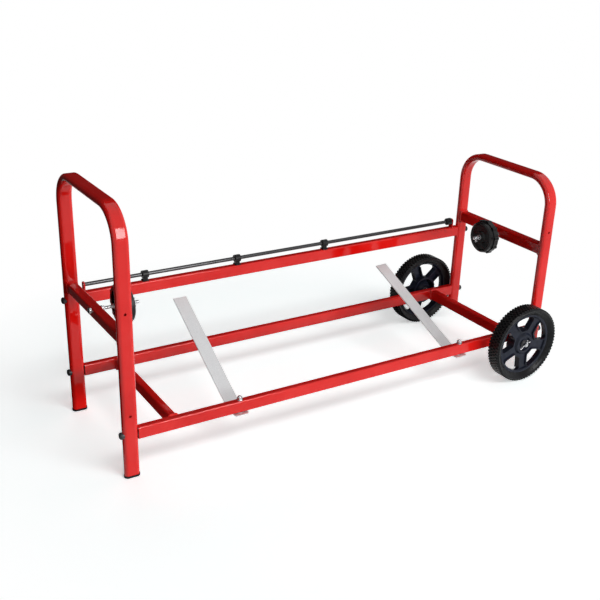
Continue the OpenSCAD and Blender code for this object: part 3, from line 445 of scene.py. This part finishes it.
world = bpy.data.worlds.new("studio_air")
scene.world = world
world.use_nodes = True
tree = world.node_tree
tree.nodes["Background"].inputs["Color"].default_value = (1, 1, 1, 1)
strength = band(tree, white_where_seen(tree), 0.0, 1.0, 0.05, 1.0)
tree.links.new(strength, tree.nodes["Background"].inputs["Strength"])


def screen(name, corner, side, other_side, material):
    """A flat piece of the studio: a corner, and the two sides that leave it."""
    corner, side, other_side = (np.array(value, float) for value in (corner, side, other_side))
    corners = [corner, corner + side, corner + side + other_side, corner + other_side]
    mesh = bpy.data.meshes.new(name)
    mesh.from_pydata(corners, [], [(0, 1, 2, 3)])
    mesh.materials.append(material)
    made = bpy.data.objects.new(name, mesh)
    scene.collection.objects.link(made)
    return made


# The floor is matt near the trolley, so that it takes the shadows, and glows plain white further out. Its
# white leans a little to cyan, against the red that the tubes throw on it.
floor_white = bpy.data.materials.new("floor_white")
floor_white.use_nodes = True
tree = floor_white.node_tree
tree.nodes.remove(tree.nodes["Principled BSDF"])
seen = white_where_seen(tree)
place = add(tree, "ShaderNodeTexCoord").outputs["Object"]
from_middle = add(tree, "ShaderNodeVectorMath", {0: place}, operation="LENGTH").outputs["Value"]
shadow_reach, glow_start = 0.58, 0.92
far = band(tree, from_middle, shadow_reach, glow_start)
white = blend_colours(tree, seen, (0.36, 0.36, 0.36, 1), (1.2, 1.3, 1.3, 1))
matt = add(tree, "ShaderNodeBsdfDiffuse", {"Color": white}).outputs[0]
faint = math_node(tree, "MULTIPLY", seen, 0.38)
glow_near = add(tree, "ShaderNodeEmission", {"Strength": faint}).outputs[0]
glow_far = add(tree, "ShaderNodeEmission", {"Strength": seen}).outputs[0]
near = add(tree, "ShaderNodeAddShader", {0: matt, 1: glow_near}).outputs[0]
mixed = add(tree, "ShaderNodeMixShader", {0: far, 1: near, 2: glow_far}).outputs[0]
tree.links.new(mixed, tree.nodes["Material Output"].inputs["Surface"])
screen("floor", (-9, -9, -0.0002), (18, 0, 0), (0, 18, 0), floor_white)

flag_cloth = bpy.data.materials.new("flag_cloth")
flag_cloth.use_nodes = True
flag_cloth.node_tree.nodes["Principled BSDF"].inputs["Base Color"].default_value = (0.01, 0.01, 0.01, 1)
flag_cloth.node_tree.nodes["Principled BSDF"].inputs["Roughness"].default_value = 0.9
for name, corner, side, other_side in (
        ("back_flag", (-3.0, 2.6, 0.2), (7.8, 0.0, 0.0), (0.0, 0.0, 4.2)),
        ("left_flag", (-0.6, -0.15, 0.0), (0.0, 1.95, 0.0), (0.0, 0.0, 0.9)),
        ("brace_flag", (-0.62, 0.02, 0.001), (0.19, 0.0, 0.0), (0.0, 0.32, 0.0)),
        ("housing_flag", (0.10, 0.02, 0.001), (0.32, 0.0, 0.0), (0.0, 0.32, 0.0)),
        ("crossbar_flag", (-0.36, 0.46, 0.001), (0.48, 0.0, 0.0), (0.0, 0.42, 0.0))):
    flag = screen(name, corner, side, other_side, flag_cloth)
    flag.visible_camera = flag.visible_diffuse = flag.visible_shadow = False


def softbox(name, at, aim, width, height, watts):
    """A rectangular lamp at a place, turned to a point, that the camera itself doesn't see."""
    data = bpy.data.lights.new(name, "AREA")
    data.shape = "RECTANGLE"
    data.size, data.size_y, data.energy = width, height, watts
    lamp = bpy.data.objects.new(name, data)
    scene.collection.objects.link(lamp)
    ahead = np.array(aim, float) - np.array(at, float)
    lamp.location = at
    lamp.rotation_mode = "QUATERNION"
    lamp.rotation_quaternion = Vector(ahead).to_track_quat("-Z", "Y")
    lamp.visible_camera = False
    return lamp


for strip, x, width, watts in (("narrow", 0.28, 0.10, 6), ("wide", 0.68, 0.56, 26)):
    glint = softbox(f"glint_{strip}", (x, -2.3, 1.25), (0.0, 0.0, 0.25), width, 1.3, watts)
    glint.visible_diffuse = False
for name, at, aim_height, width, height, watts in (
        ("low_key", (1.3, -4.1, 0.48), 0.3, 3.8, 0.84, 148),
        ("back_fill", (0.4, 4.2, 0.5), 0.3, 3.4, 0.84, 100),
        ("right_fill", (4.2, 0.3, 0.5), 0.3, 3.4, 0.84, 90),
        ("left_fill", (-4.2, 0.6, 0.5), 0.3, 3.4, 0.84, 5),
        ("high_front", (0.3, -4.0, 5.3), 0.1, 4.4, 1.9, 155)):
    softbox(name, at, (0.0, 0.0, aim_height), width, height, watts).visible_glossy = False

# The camera: its lens and middle in pixels of the square picture, then its place in metres, and its turn
# about Z, tip below level and roll in radians
picture_side, focal_length, middle_x, middle_y = 600, 940.358, 311.6536, 325.0815
camera_place = (-1.0381699, -1.5787264, 0.9910869)
turn, tip, roll = 0.5709063, 0.4204446, 0.0375219
camera_data = bpy.data.cameras.new("camera")
camera_data.lens = focal_length / picture_side * camera_data.sensor_width
camera_data.shift_x = 0.5 - middle_x / picture_side
camera_data.shift_y = middle_y / picture_side - 0.5
camera_data.clip_start = 0.05
camera = bpy.data.objects.new("camera", camera_data)
scene.collection.objects.link(camera)
ahead = np.array([math.sin(turn) * math.cos(tip), math.cos(turn) * math.cos(tip), -math.sin(tip)])
right = np.array([math.cos(turn), -math.sin(turn), 0.0])
up = np.cross(right, ahead)
right, up = math.cos(roll) * right + math.sin(roll) * up, math.cos(roll) * up - math.sin(roll) * right
pose = np.eye(4)
pose[:3, 0], pose[:3, 1], pose[:3, 2] = right, up, -ahead
pose[:3, 3] = camera_place
camera.matrix_world = Matrix(pose.tolist())
scene.camera = camera
